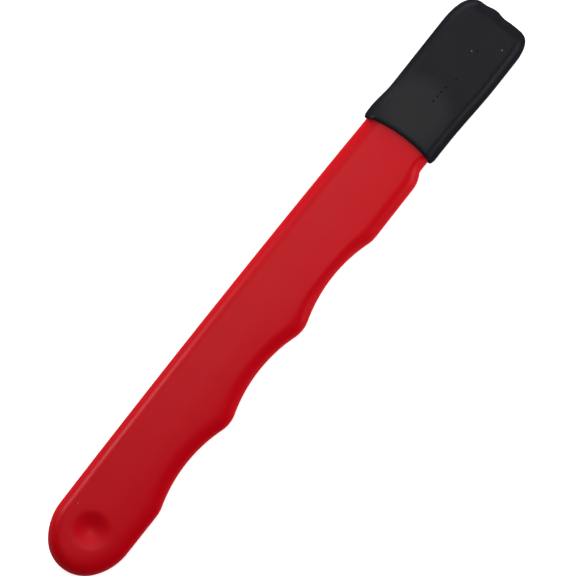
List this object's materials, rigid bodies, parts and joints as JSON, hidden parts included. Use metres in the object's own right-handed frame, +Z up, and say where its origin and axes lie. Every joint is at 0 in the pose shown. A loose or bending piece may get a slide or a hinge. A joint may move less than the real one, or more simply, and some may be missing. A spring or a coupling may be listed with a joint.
{
  "type": "capped hand sharpener",
  "caption": "Flat pocket sharpener: a steel blank in a dipped vinyl grip with finger grooves, a brazed carbide tip at the nose, and a push-on cap that guards it.",
  "frame": {"origin": "under the middle of the tool's box, on the plane that the cap rests on", "axes": "+X along the tool to the capped tip, +Y to the straight spine, +Z up out of the flat face"},
  "size_m": [0.14, 0.0172, 0.007],
  "materials": {
    "blank_steel": "stamped strip with ground nose",
    "carbide": "ground sintered carbide, satin",
    "braze": "silver braze, as flowed",
    "red_vinyl": "soft dipped vinyl, semi-gloss",
    "black_vinyl": "soft dip-moulded vinyl, satin"
  },
  "bodies": {
    "tool": {"steel_blank": "blank_steel", "carbide_tip": "carbide", "braze_seat": "braze", "vinyl_grip": "red_vinyl"},
    "cap": {"tip_cap": "black_vinyl"}
  },
  "joints": [
    {"name": "cap_slide", "type": "slide", "parent": "tool", "child": "cap", "axis": [1, 0, 0], "range_m": [0, 0.04]}
  ]
}
